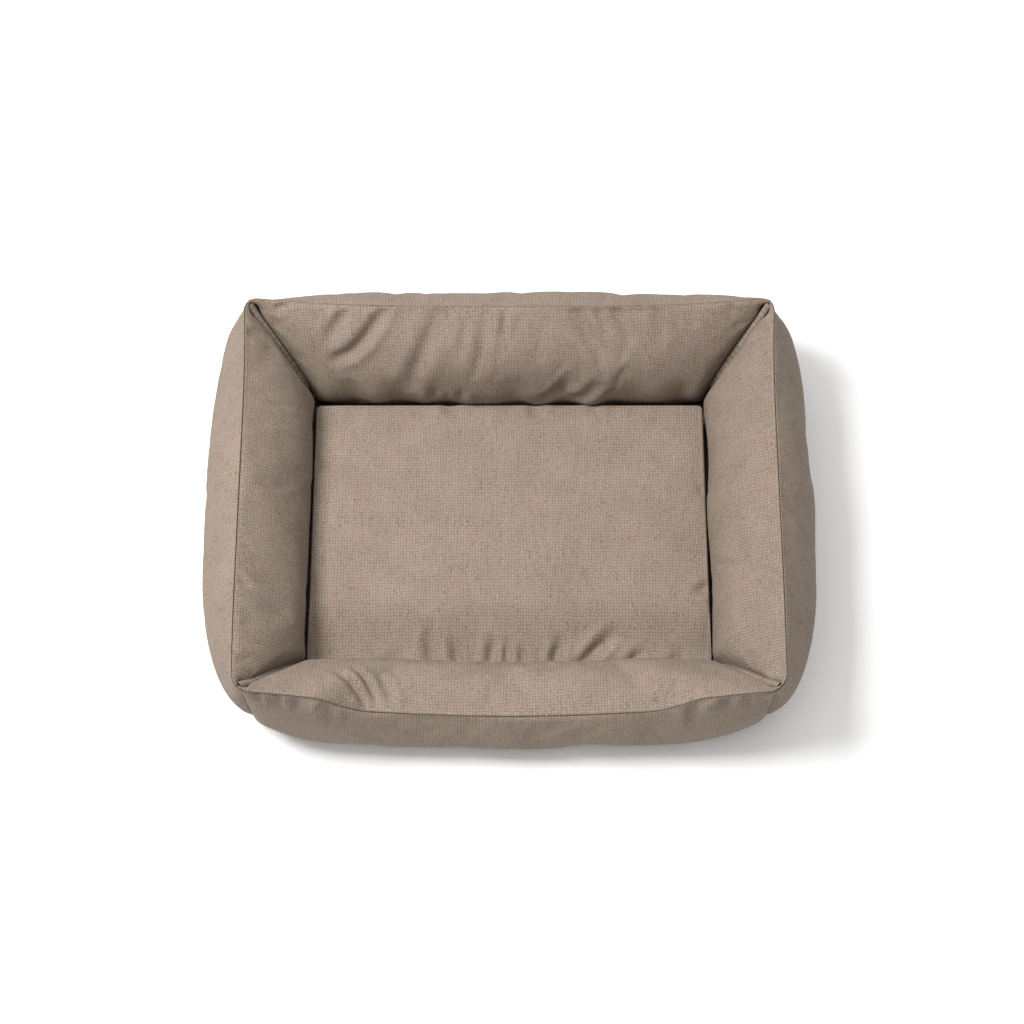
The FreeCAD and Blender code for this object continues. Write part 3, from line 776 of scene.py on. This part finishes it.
def cushion_surface(low, high, settings):
    """The cushion's cover as two grids sewn along the edge seam: points, faces, the flat
    coordinates and the vertex numbers of its top grid and of its underside grid."""
    middle = (low + high) / 2
    half = (high - low) / 2
    crown, corner, power = 10.0, 6.0, 3.6
    # The rows at the edge, by their heights over the seam, and then evenly round to the top
    angle = np.concatenate([np.arcsin((np.array(EDGE_ROWS) / half[2]) ** (power / 2)),
                            np.linspace(0.28, math.pi / 2, 9)])
    edge = crown * (1 - np.cos(angle) ** (2 / power))
    round_the_edge = np.hypot(np.diff(edge), np.diff(half[2] * np.sin(angle) ** (2 / power)))
    cloth = np.concatenate([[0.0], np.cumsum(round_the_edge)])

    def lines(reach):
        even = np.linspace(0, reach - crown, int((reach - crown) / 4.0) + 1)
        half_line = np.concatenate([even, (reach - edge[::-1])[1:]])
        return np.concatenate([-half_line[:0:-1], half_line])

    def unrolled(places, reach):
        """Where each line lies on the flat cloth."""
        from_seam = np.interp(reach - np.abs(places), edge, cloth)
        return np.where(reach - np.abs(places) < crown,
                        np.sign(places) * (reach - crown + cloth[-1] - from_seam), places)

    xs, ys = lines(half[0]), lines(half[1])
    x, y = (g.copy() for g in np.meshgrid(xs, ys, indexing="ij"))
    flat = np.stack(np.meshgrid(unrolled(xs, half[0]), unrolled(ys, half[1]), indexing="ij"),
                    axis=-1)
    u = np.abs(x) - (half[0] - corner)
    w = np.abs(y) - (half[1] - corner)
    both = (u > 0) & (w > 0)
    reach = np.maximum(u, w)
    scale = np.where(both, reach / np.maximum(np.hypot(u, w), 1e-9), 1.0)
    from_edge = np.minimum(half[0] - np.abs(x), half[1] - np.abs(y))
    x = np.where(both, np.sign(x) * (half[0] - corner + u * scale), x)
    y = np.where(both, np.sign(y) * (half[1] - corner + w * scale), y)
    share = np.clip(1 - from_edge / crown, 0, 1)
    rise = half[2] * np.maximum(0, 1 - share ** power) ** (1 / power)
    swell = settings.crown * (1 - (x / half[0]) ** 2) * (1 - (y / half[1]) ** 2)
    # The rear edge is drawn in along the zip
    zipped = (ZIP_VALLEY * np.exp(-(rise / 9.0) ** 2) * smooth((166 - np.abs(x)) / 12)
              * (y > half[1] - crown))
    y = y - zipped
    world_y = y + middle[1]
    held = smooth(from_edge / 6)
    # The front edge is pressed down by the front wall, and the left one a little
    pressed = (20 * smooth((-84 - world_y) / 62) + 2.2 * smooth((-172 - x) / 24)
               + 1.0 * smooth((x - 178) / 20)) * smooth(from_edge / 3)
    folds = settings.gathers * smooth(from_edge / 1.5) * fold_field(x, world_y, CUSHION_FOLDS)
    wave = ripple(x, y, 41, 130, settings.unevenness)
    top = rise + (swell - settings.crown + wave) * held + folds - pressed
    bottom = -rise
    points = []
    ids = np.arange(x.size).reshape(x.shape)
    inside = np.zeros(x.shape, dtype=bool)
    inside[1:-1, 1:-1] = True
    points.append(np.stack([x, world_y, middle[2] + top], axis=-1).reshape(-1, 3))
    under = np.full(x.shape, -1)
    under[inside] = x.size + np.arange(inside.sum())
    under[~inside] = ids[~inside]
    # The underside is smaller than the top, and rounder at its edge
    low_down = UNDERSIDE_TUCK * smooth((rise - 10) / 18)
    low_x = x - np.sign(x) * low_down * smooth(1 - (half[0] - np.abs(x)) / 26)
    low_y = world_y - np.sign(y) * low_down * smooth(1 - (half[1] - np.abs(y)) / 26)
    points.append(np.stack([low_x[inside], low_y[inside], middle[2] + bottom[inside]], axis=-1))
    flats = [flat.reshape(-1, 2), flat[inside]]
    faces = quads(ids, flip=True) + quads(under)
    return np.concatenate(points), faces, np.concatenate(flats), (ids, under)


# ---- Settings -----------------------------------------------------------------------------------

def length(name, metres, description):
    return bpy.props.FloatProperty(name=name, description=description, default=metres,
                                   unit="LENGTH")


def share(name, value, description):
    return bpy.props.FloatProperty(name=name, description=description, default=value,
                                   subtype="FACTOR")


def colour(name, hex_colour, description):
    return bpy.props.StringProperty(name=name, description=description, default=hex_colour)


class WallSettings(bpy.types.PropertyGroup):
    """How the walls are stuffed and sewn."""
    tuck_width: length("Tuck Width", 0.011,
                       "How far from a corner the wall's end starts to round off")
    tuck_depth: length("Tuck Depth", 0.009, "Depth of the furrow between two walls at a corner")
    fold_depth: share("Fold Depth", 0.95, "Depth of the folds, as a share of the folds drawn")
    unevenness: length("Unevenness", 0.003, "Height of the filling's slow lumps")
    groove_depth: length("Groove Depth", 0.0055, "How far the ridge seam is drawn in")
    pressure: bpy.props.FloatProperty(
        name="Filling Pressure", description="Pressure of the filling in the cloth simulation",
        default=4.0)
    swell: length("Swell", 0.001, "How much smaller the cloth starts before it is filled")


class CushionSettings(bpy.types.PropertyGroup):
    """How the loose cushion is stuffed."""
    crown: length("Crown", 0.005, "How much higher the middle stands than the edges")
    gathers: share("Gathers", 1.4, "Depth of the gathers at the edge, as a share of those drawn")
    unevenness: length("Unevenness", 0.0025, "Height of the filling's slow lumps")
    groove_depth: length("Groove Depth", 0.0026, "How far the edge seam is drawn in")


class ColourSettings(bpy.types.PropertyGroup):
    """Colours of the cloth's fibres, in sRGB hex."""
    dark_fibre: colour("Dark Fibre", "#75665A", "Darkest fibre in the weave")
    brown_fibre: colour("Brown Fibre", "#877667", "Pinkish brown fibre")
    mid_fibre: colour("Taupe Fibre", "#8E7E70", "The weave's main fibre")
    grey_fibre: colour("Grey Fibre", "#8A8077", "Cool grey fibre")
    light_fibre: colour("Light Fibre", "#98897A", "Lightest fibre in the weave")


class ZipSettings(bpy.types.PropertyGroup):
    """Sizes of the cushion's zip."""
    coil_pitch: length("Coil Pitch", 0.0015, "Distance between two turns of the coil")
    coil_wire: length("Coil Wire", 0.00034, "Radius of the coil's wire")


class SewingSettings(bpy.types.PropertyGroup):
    """Stitches and grip dots."""
    stitch_pitch: length("Stitch Pitch", 0.0032, "Distance between two stitches")
    dot_pitch: length("Dot Pitch", 0.015, "Distance between two grip dots")
    dot_radius: length("Dot Radius", 0.0024, "Radius of a grip dot")


class StageSettings(bpy.types.PropertyGroup):
    """The camera and the light."""
    elevation: bpy.props.FloatProperty(
        name="Elevation", description="The camera's height above the horizon",
        default=math.radians(69.4), subtype="ANGLE")
    distance: length("Distance", 2.11, "From the camera to the point it looks at")
    lens: bpy.props.FloatProperty(
        name="Lens", description="Focal length in mm, on a 36 mm sensor", default=70.98)
    key_power: bpy.props.FloatProperty(
        name="Key Light", description="Power of the soft light from the left, in watts",
        default=55.0)
    top_power: bpy.props.FloatProperty(
        name="Top Light", description="Power of the large soft light overhead, in watts",
        default=26.0)
    sky: bpy.props.FloatProperty(
        name="Sky", description="Strength of the light from all round", default=0.49)


class BedSettings(bpy.types.PropertyGroup):
    """All the settings of the bed."""
    walls: bpy.props.PointerProperty(type=WallSettings)
    cushion: bpy.props.PointerProperty(type=CushionSettings)
    colours: bpy.props.PointerProperty(type=ColourSettings)
    zip: bpy.props.PointerProperty(type=ZipSettings)
    sewing: bpy.props.PointerProperty(type=SewingSettings)
    stage: bpy.props.PointerProperty(type=StageSettings)


class InMillimetres:
    """A settings group whose lengths are read in millimetres."""

    def __init__(self, group):
        for name, prop in group.bl_rna.properties.items():
            value = getattr(group, name)
            if prop.type == "FLOAT":
                value = value / MM if prop.unit == "LENGTH" else value
                setattr(self, name, value)


def cloth_material(context):
    name = "heathered_polyester_basket_weave"
    colours = context.scene.pet_bed.colours
    fibres = (colours.dark_fibre, colours.brown_fibre, colours.mid_fibre, colours.grey_fibre,
              colours.light_fibre)
    return (bpy.data.materials.get(name)
            or basket_weave(name, [linear(c) for c in fibres], WEAVE_CELL))


def thread_painted_seam_shade():
    """Spun polyester sewing thread: a matt, fuzzy twist, darker than the cloth it pulls in; this
    dark colour is partly painted shade for the seam's groove.
    """
    return (bpy.data.materials.get("polyester_sewing_thread")
            or speckled("polyester_sewing_thread", "#3E332B", "#57493D", 0.4, 0.8, 0.05))


# ---- The pieces ---------------------------------------------------------------------------------

def place_piece(piece, body, nodes=()):
    """Puts the piece on its body and hides the CAD nodes that it stands for."""
    if nodes:
        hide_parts(*nodes)
    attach(piece, body)


class PETBED_OT_walls(bpy.types.Operator):
    """Make the four stuffed walls"""
    bl_idname = "petbed.walls"
    bl_label = "Walls"

    def execute(self, context):
        settings = InMillimetres(context.scene.pet_bed.walls)
        sewing = InMillimetres(context.scene.pet_bed.sewing)
        weave = cloth_material(context)
        for wall in walls():
            points, flat, ridge, from_mitre, normal = wall_surface(wall, settings)
            columns, rows = points.shape[:2]
            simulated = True
            if simulated:
                loose = smooth((np.abs(ridge) - 4) / 30) * smooth(from_mitre / 14)
                loose = loose * smooth((points[..., 2] - FOOT_Z) / 30)
                points = points - normal * (settings.swell * loose)[..., None]
            verts, flats, faces = close_grid(points, flat)
            piece = make_piece("wall_" + wall.name, verts, faces, weave, flats)
            if simulated:
                hold = np.ones(len(verts), dtype=bool)
                hold[:columns * rows] = (loose < 0.02).ravel()
                inflate(piece, hold, settings.pressure, FILLING_CAP, EXTRA_CLOTH)
            verts = read_points(piece)
            grid = verts[:columns * rows].reshape(columns, rows, 3)
            drawn_in = wall_groove(wall, ridge, points) * settings.groove_depth
            toward = grid_normals(grid)
            toward[:, 0] = (0, 0, 1)
            grid = grid - toward * drawn_in[..., None]
            verts[:columns * rows] = grid.reshape(-1, 3)
            verts = round_corners(verts)
            write_points(piece, verts)
            subdivide(piece)
            nodes = [wall.name + part for part in ("_outer_panel", "_inner_panel", "_filling")]
            place_piece(piece, "bed", nodes)
            # The ridge seam's stitches: their dark thread also stands in for painted shade in the
            # seam groove
            seam = verts[:columns * rows].reshape(columns, rows, 3)[:, 0]
            seam = seam + np.array((0.0, 0.0, 0.35))
            edges = [(i, i + 1) for i in range(columns - 1)]
            stitch = lathe_unit("stitch", STITCH_PROFILE, 6)
            sewn = scatter("ridge_stitches_" + wall.name, seam, edges, stitch, thread_painted_seam_shade(),
                           sewing.stitch_pitch, 1.0, 0.08, 3 + wall.turn)
            place_piece(sewn, "bed")
        return {"FINISHED"}


def wall_groove(wall, ridge, points):
    """How deep the ridge seam lies in each point's row, as a share of the groove's depth."""
    depth = np.where(np.abs(ridge) < 0.4, 1.0, 0.0)
    if wall.name == "back":
        # The rear seam is rolled over and shows only where it gapes
        x = points[:, 0, 0]
        gape = np.exp(-((x + 127) / 10) ** 2)[:, None]
        depth = depth * (0.3 + 1.2 * gape) + 0.25 * gape * np.exp(-(ridge / 1.2) ** 2)
    return depth


def foot_outline(side, inset):
    """The outline of the walls' feet as (x, y) points, anticlockwise, inset towards the middle."""
    outline = []
    for wall in walls():
        s = np.linspace(-1, 1, 40)[:-1]
        t = wall.sections(s)[side + "_foot"][:, 0] - inset
        low = wall.low + wall.tip_t - t
        high = wall.high - wall.tip_t + t
        along = mix(low, high, (s + 1) / 2)
        outline.append(wall.world(along, t, np.zeros_like(t))[::-1])
    return np.concatenate(outline)


def flat_cloth(name, outline, low, high, material, rings=14, softness=0.0):
    """A closed flat sheet between two heights, inside an outline round the bed's middle."""
    middle = outline.mean(axis=0)
    count = len(outline)
    shares = [i / rings for i in range(rings, 0, -1)]
    points = []
    for z in (high, low):
        for share in shares:
            ring = mix(middle, outline, share)
            lift = softness * (1 - share ** 6) if z == high else 0.0
            points.append(np.column_stack([ring[:, :2], np.full(count, z + lift)]))
        points.append(np.array([[middle[0], middle[1], z + (softness if z == high else 0.0)]]))
    faces = []
    layer = count * rings + 1
    for start, flip in ((0, False), (layer, True)):
        ids = start + np.arange(count * rings).reshape(rings, count)
        faces += quads(ids, around=True, flip=flip)
        faces += fan(ids[-1], start + layer - 1, flip)
    edge = np.arange(count)
    faces += quads(np.stack([edge, edge + layer]), around=True, flip=True)
    points = np.concatenate(points)
    piece = make_piece(name, points, faces, material, points[:, :2])
    turned_out(piece)
    return piece


def turned_out(piece):
    """Points the piece's faces outwards."""
    work = bmesh.new()
    work.from_mesh(piece.data)
    bmesh.ops.recalc_face_normals(work, faces=work.faces)
    work.to_mesh(piece.data)
    work.free()


def mitre_cloth(name, side_x, side_y, material):
    """The divider across a mitre, with the filling pressed against both sides of it."""
    measures = {k: np.array([[v]]) for k, v in mitre(0.0, side_y > 0).items()}
    (inner_t, inner_z), (outer_t, outer_z) = (panel_curve(measures, side, 16)
                                              for side in ("inner", "outer"))
    across = np.concatenate([inner_t[0], outer_t[0, :0:-1]])
    up = np.concatenate([inner_z[0], outer_z[0, :0:-1]])
    outline = np.column_stack([across, up, np.zeros_like(up)])
    outline = mix(outline.mean(axis=0), outline, MITRE_CLOTH_SHARE)
    piece = flat_cloth(name, outline, -MITRE_CLOTH_HALF, MITRE_CLOTH_HALF, material, rings=8)
    across, up, out = read_points(piece).T
    corner_y = REAR_Y if side_y > 0 else FRONT_Y
    points = round_corners(np.stack([side_x * (CORNER_X + across), side_y * (corner_y + across),
                                     up], axis=-1))
    to_side = np.array((side_x, -side_y, 0.0)) / math.sqrt(2)
    write_points(piece, points + np.outer(out, to_side))
    turned_out(piece)
    return piece


class PETBED_OT_mitres(bpy.types.Operator):
    """Make the dividers in the walls' mitres"""
    bl_idname = "petbed.mitres"
    bl_label = "Mitres"

    def execute(self, context):
        weave = cloth_material(context)
        for name, side_x, side_y in (("back_left", -1, 1), ("back_right", 1, 1),
                                     ("front_right", 1, -1), ("front_left", -1, -1)):
            piece = mitre_cloth("mitre_" + name, side_x, side_y, weave)
            place_piece(piece, "bed", ["divider_" + name])
        return {"FINISHED"}


class PETBED_OT_base(bpy.types.Operator):
    """Make the non-slip base, its grip dots and the floor of the well"""
    bl_idname = "petbed.base"
    bl_label = "Base"

    def execute(self, context):
        sewing = InMillimetres(context.scene.pet_bed.sewing)
        # Spunbond polypropylene: a dark felted cloth, flat and dull
        grip_cloth = speckled("spunbond_polypropylene", "#3A3531", "#514A44", 0.8, 0.9, 0.15)
        outline = foot_outline("outer", 2.0)
        base = flat_cloth("base_cloth", outline, 0.6, 1.7, grip_cloth)
        place_piece(base, "bed", ["base_fabric"])
        # Soft PVC: low rubbery domes with a faint shine
        dots = speckled("soft_pvc_dots", "#211F1E", "#2B2826", 0.6, 0.45, 0.02)
        step = sewing.dot_pitch
        inner = foot_outline("outer", 14.0)
        places = []
        for i in range(-24, 25):
            for j in range(-24, 25):
                x = (i + 0.5 * (j % 2)) * step
                y = j * step * math.sqrt(3) / 2
                if inside(x, y, inner):
                    places.append((x, y, 0.62))
        r = sewing.dot_radius
        unit = lathe_unit("dot", [(0.0, r), (0.3, r * 0.88), (0.55, r * 0.5), (0.6, r * 0.15)], 9)
        unit.data.transform(Matrix.Rotation(math.pi / 2, 4, "Y"))
        grip = scatter("grip_dots", places, [], unit, dots, 1.0, 1.0, 0.05, 5)
        place_piece(grip, "bed")
        weave = cloth_material(context)
        well = foot_outline("inner", 7.0)
        floor = flat_cloth("floor_cloth", well, 1.8, 8.2, weave, softness=1.0)
        place_piece(floor, "bed", ["floor_panel", "base_wadding"])
        return {"FINISHED"}


def inside(x, y, outline):
    """Whether a point lies inside an outline."""
    px, py = outline[:, 0], outline[:, 1]
    qx, qy = np.roll(px, -1), np.roll(py, -1)
    spans = (py > y) != (qy > y)
    cross = px + (y - py) * (qx - px) / np.where(qy == py, 1e-9, qy - py)
    return bool(np.count_nonzero(spans & (x < cross)) % 2)


class PETBED_OT_cushion(bpy.types.Operator):
    """Make the loose cushion"""
    bl_idname = "petbed.cushion"
    bl_label = "Cushion"

    def execute(self, context):
        settings = InMillimetres(context.scene.pet_bed.cushion)
        sewing = InMillimetres(context.scene.pet_bed.sewing)
        low = corner_of("cushion_bottom_panel", 0) - CUSHION_SPREAD_LOW
        high = corner_of("cushion_top_panel", 1) + CUSHION_SPREAD_HIGH
        points, faces, flats, sides = cushion_surface(low, high, settings)
        weave = cloth_material(context)
        piece = make_piece("cushion", points, faces, weave, flats)
        # The edge seam is drawn in, and a slot for the zip is sunk in the rear edge
        seam_z = seam_height()
        middle = (low + high) / 2
        out = points[:, :2] - middle[:2]
        out /= np.maximum(np.linalg.norm(out, axis=1, keepdims=True), 1e-6)
        draw = np.exp(-((points[:, 2] - seam_z) / 2.4) ** 2) * settings.groove_depth
        rim = np.abs(points[:, 2] - seam_z) < RIM
        points[:, :2] -= out * (draw * rim)[:, None]
        slot = (rim & (np.abs(points[:, 2] - seam_z) < SLOT_HALF_HEIGHT)
                & (points[:, 1] > high[1] - 25)
                & (np.abs(points[:, 0]) < SLOT_HALF_LENGTH))
        points[slot, 1] = corner_of("zip_slider", 0)[1] - SLOT_CLEARANCE
        write_points(piece, points)
        turned_out(piece)
        subdivide(piece)
        place_piece(piece, "cushion",
                    ["cushion_top_panel", "cushion_bottom_panel", "cushion_filling"])
        # The zip is topstitched into the cover, above and below its slot
        sewn = []
        edges = []
        for side in sides:
            line = points[side[:, -1 - STITCH_ROW]]
            line = line[np.abs(line[:, 0]) < STITCH_HALF_LENGTH] + np.array((0.0, 0.3, 0.0))
            start = len(sewn)
            sewn.extend(line.tolist())
            edges.extend((start + i, start + i + 1) for i in range(len(line) - 1))
        stitch = lathe_unit("stitch", STITCH_PROFILE, 6)
        stitches = scatter("zip_stitches", sewn, edges, stitch, thread_painted_seam_shade(),
                           sewing.stitch_pitch, 1.0, 0.08, 9)
        place_piece(stitches, "cushion")
        return {"FINISHED"}


class PETBED_OT_zip(bpy.types.Operator):
    """Make the zip's tapes and coils, and finish its metal"""
    bl_idname = "petbed.zip"
    bl_label = "Zip"

    def execute(self, context):
        settings = InMillimetres(context.scene.pet_bed.zip)
        # Nylon monofilament coil: smooth and slightly glossy
        nylon = speckled("nylon_coil", "#6E6054", "#7A6B5E", 0.5, 0.38, 0.01)
        # Woven polyester tape: dull, with fine ribs along it
        tape_cloth = tape_material()
        for side, name in ((1, "upper"), (-1, "lower")):
            low, high = (corner_of("zip_tape_" + name, end) for end in (0, 1))
            y = (low[1] + high[1]) / 2
            xs = np.linspace(low[0], high[0], 100)
            zs = seam_height() + side * np.linspace(*TAPE_EDGES, 6)
            tape = strip_piece("zip_tape_" + name + "_cloth", xs, zs, y, 0.35, tape_cloth)
            place_piece(tape, "cushion", ["zip_tape_" + name])
            count = int(COIL_LENGTH / settings.coil_pitch)
            reach = COIL_LENGTH / 2 - 0.6
            line = [(x, y, seam_height() + side * COIL_MIDDLE)
                    for x in np.linspace(-reach, reach, count)]
            unit = ring_unit("coil_turn", 1.12, 0.62, settings.coil_wire)
            coil = scatter("zip_coil_" + name, line, [], unit, nylon, 1.0, 1.0)
            place_piece(coil, "cushion")
        # Painted zinc alloy: smooth, satin and cool
        metal = speckled("painted_zinc_alloy", "#6A5C50", "#726357", 0.8, 0.4, 0.01, 0.35)
        for node in ("zip_slider", "zip_pull", "zip_stop_left", "zip_stop_right"):
            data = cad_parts[node].data
            data.materials.clear()
            data.materials.append(metal)
        return {"FINISHED"}


def tape_material():
    """Woven polyester zip tape: dull, with fine ribs along its length."""
    material, tree, shader = new_material("woven_polyester_tape")
    place = add_node(tree, "ShaderNodeTexCoord")
    split = add_node(tree, "ShaderNodeSeparateXYZ", {0: place.outputs["Object"]})
    ribs = add_node(tree, "ShaderNodeMath", {0: split.outputs["Z"], 1: 2 * math.pi * 1000 / 0.9},
                    operation="MULTIPLY")
    wave = add_node(tree, "ShaderNodeMath", {0: ribs.outputs[0]}, operation="SINE")
    threads = add_node(tree, "ShaderNodeTexNoise",
                       {"Vector": place.outputs["Object"], "Scale": 1800.0, "Detail": 2.0})
    height = add_node(tree, "ShaderNodeMath", {0: wave.outputs[0], 1: threads.outputs["Fac"]},
                      operation="ADD")
    tone = add_node(tree, "ShaderNodeMix",
                    {"Factor": threads.outputs["Fac"], "A": linear("#766557"),
                     "B": linear("#8F7D6D")}, data_type="RGBA")
    bump = add_node(tree, "ShaderNodeBump",
                    {"Height": height.outputs[0], "Strength": 0.4, "Distance": 0.15 * MM})
    tree.links.new(tone.outputs["Result"], shader.inputs["Base Color"])
    tree.links.new(bump.outputs[0], shader.inputs["Normal"])
    shader.inputs["Roughness"].default_value = 0.85
    return material


def strip_piece(name, xs, zs, y, half_thick, material):
    """A flat strip along X, closed, upright, with the tape's thickness."""
    points = [(x, y + side * half_thick, z) for side in (-1, 1) for x in xs for z in zs]
    ids = np.arange(len(points)).reshape(2, len(xs), len(zs))
    rims = [np.concatenate([face[:-1, 0], face[-1, :-1], face[:0:-1, -1], face[0, :0:-1]])
            for face in ids]
    faces = quads(ids[0]) + quads(ids[1], flip=True) + quads(np.stack(rims), around=True)
    piece = make_piece(name, points, faces, material)
    turned_out(piece)
    return piece


class PETBED_OT_stage(bpy.types.Operator):
    """Set up the floor, the lights and the camera"""
    bl_idname = "petbed.stage"
    bl_label = "Stage"

    def execute(self, context):
        settings = context.scene.pet_bed.stage
        scene = context.scene
        scene.view_settings.view_transform = "Standard"
        # Matt white board, very even
        board = speckled("matt_white_board", "#F4F4F3", "#F7F7F6", 3.0, 0.9, 0.01)
        reach = 6000
        floor = make_piece("studio_floor", [(-reach, -reach, -0.1), (reach, -reach, -0.1),
                                            (reach, reach, -0.1), (-reach, reach, -0.1)],
                           [(0, 1, 2, 3)], board)
        world = bpy.data.worlds.new("studio")
        world.use_nodes = True
        world.node_tree.nodes["Background"].inputs["Color"].default_value = (1, 1, 1, 1)
        world.node_tree.nodes["Background"].inputs["Strength"].default_value = settings.sky
        scene.world = world
        for name, power, size, toward, away in (
                ("key_softbox", settings.key_power, 0.7, (-0.52, 0.06, 1.0), 2.3),
                ("top_softbox", settings.top_power, 2.6, (0.0, 0.06, 1.0), 2.4)):
            light = bpy.data.lights.new(name, "AREA")
            light.shape = "RECTANGLE"
            light.size = light.size_y = size
            light.energy = power
            lamp = bpy.data.objects.new(name, light)
            lamp.location = Vector(toward).normalized() * away
            lamp.rotation_euler = (-lamp.location).to_track_quat("-Z", "Y").to_euler()
            scene.collection.objects.link(lamp)
        lens = bpy.data.cameras.new("camera")
        lens.lens = settings.lens
        lens.sensor_width = 36.0
        camera = bpy.data.objects.new("camera", lens)
        target = Vector((0.0026, 0.0296, 0.0))
        back = Vector((0.0, -math.cos(settings.elevation), math.sin(settings.elevation)))
        camera.location = target + back * settings.distance
        camera.rotation_euler = (-back).to_track_quat("-Z", "Y").to_euler()
        scene.collection.objects.link(camera)
        scene.camera = camera
        return {"FINISHED"}


class PETBED_PT_panel(bpy.types.Panel):
    """The bed's settings and the steps that make it"""
    bl_label = "Pet Bed"
    bl_idname = "PETBED_PT_panel"
    bl_space_type = "VIEW_3D"
    bl_region_type = "UI"
    bl_category = "Pet Bed"

    def draw(self, context):
        settings = context.scene.pet_bed
        for group in ("walls", "cushion", "colours", "zip", "sewing", "stage"):
            box = self.layout.box()
            box.label(text=group.title())
            owner = getattr(settings, group)
            for name in owner.bl_rna.properties.keys():
                if name not in ("rna_type", "name"):
                    box.prop(owner, name)
        for step in STEPS:
            self.layout.operator("petbed." + step)


STEPS = ("walls", "mitres", "base", "cushion", "zip", "stage")
CLASSES = (WallSettings, CushionSettings, ColourSettings, ZipSettings, SewingSettings,
           StageSettings, BedSettings, PETBED_OT_walls, PETBED_OT_mitres, PETBED_OT_base,
           PETBED_OT_cushion, PETBED_OT_zip, PETBED_OT_stage, PETBED_PT_panel)


def register():
    for made in CLASSES:
        bpy.utils.register_class(made)
    bpy.types.Scene.pet_bed = bpy.props.PointerProperty(type=BedSettings)


def unregister():
    del bpy.types.Scene.pet_bed
    for made in reversed(CLASSES):
        bpy.utils.unregister_class(made)


def main():
    register()
    for step in STEPS:
        getattr(bpy.ops.petbed, step)()


if __name__ == "__main__":
    main()
